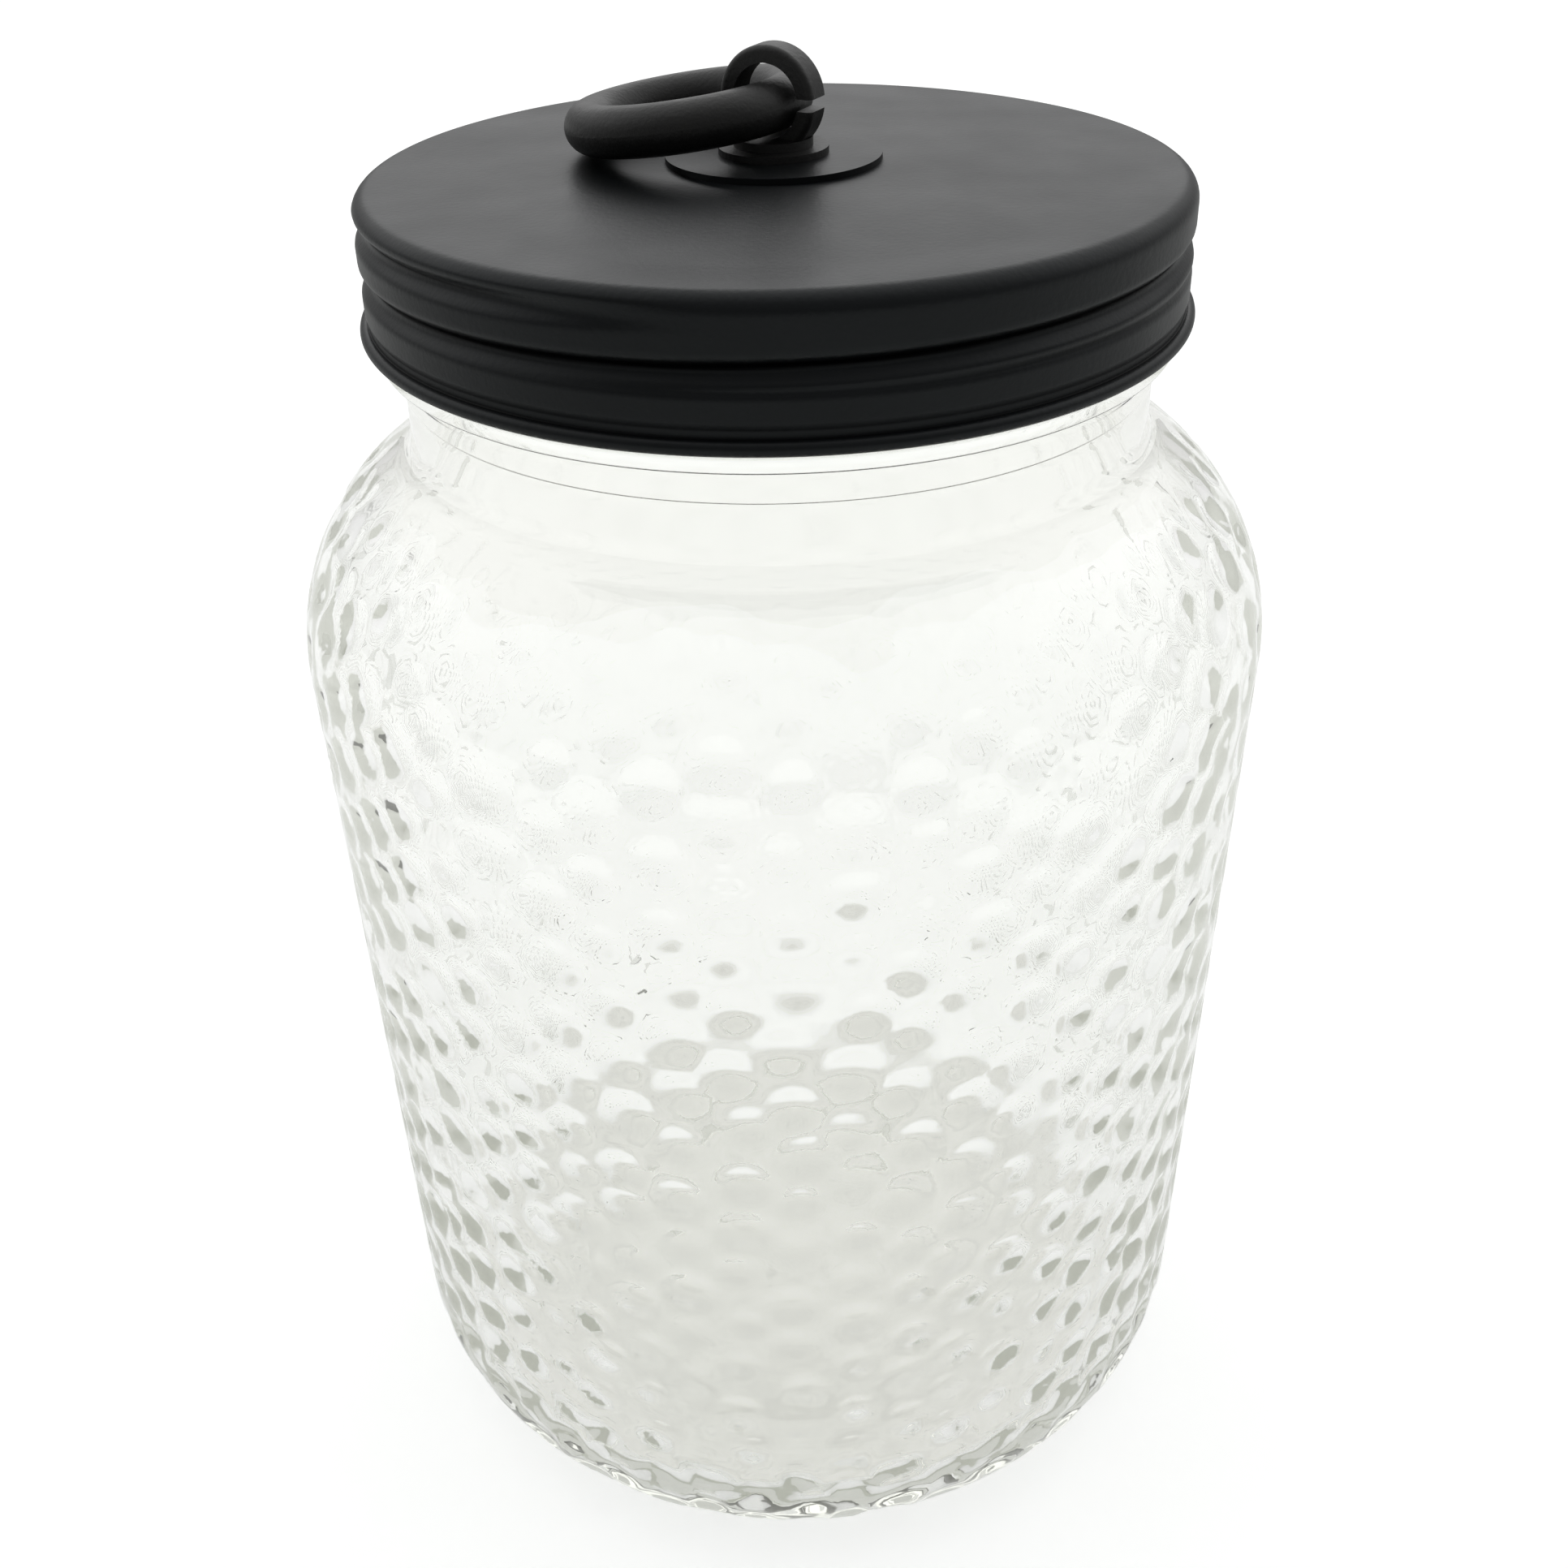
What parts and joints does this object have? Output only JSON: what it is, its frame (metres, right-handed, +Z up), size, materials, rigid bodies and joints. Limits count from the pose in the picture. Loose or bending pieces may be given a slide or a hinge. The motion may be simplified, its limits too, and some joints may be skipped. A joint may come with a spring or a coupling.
{
  "type": "mason jar lantern",
  "caption": "Clear hammered-glass mason jar lantern with a black sheet-metal screw lid and a carry ring hinged in a split eye.",
  "frame": {"origin": "centre of the jar's base, on the surface that it stands on", "axes": "+Z up along the jar's axis, front towards -Y, and the ring lies towards -X and +Y"},
  "size_m": [0.1397, 0.1396, 0.218],
  "materials": {
    "clear_glass": "clear, hammered outside",
    "black_paint": "satin black enamel on sheet metal",
    "black_cast": "matte black coating",
    "liner_rubber": "matte, pale",
    "zinc_steel": "dull zinc plate"
  },
  "bodies": {
    "jar": {"glass_jar": "clear_glass"},
    "liner": {"lid_liner": "liner_rubber"},
    "lid": {"lid_shell": "black_paint", "backing_disc": "black_paint", "eye_bolt": "black_cast", "inner_washer": "zinc_steel", "stud_nut": "zinc_steel"},
    "ring": {"carry_ring": "black_cast"}
  },
  "joints": [
    {"name": "lid_lift", "type": "slide", "parent": "jar", "child": "liner", "axis": [0, 0, 1], "range_m": [0, 0.02223]},
    {"name": "lid_turn", "type": "hinge", "parent": "liner", "child": "lid", "pos_m": [0, 0, 0.2027], "axis": [0, 0, 1], "range_deg": [0, 1260]},
    {"name": "ring_swing", "type": "hinge", "parent": "lid", "child": "ring", "pos_m": [0.00057, -0.0003, 0.21065], "axis": [0.4695, 0.8829, 0], "range_deg": [0, 195]}
  ],
  "couplings": [
    {"joint": "lid_lift", "follows": "lid_turn", "m_per_rad": 0.0010106}
  ]
}
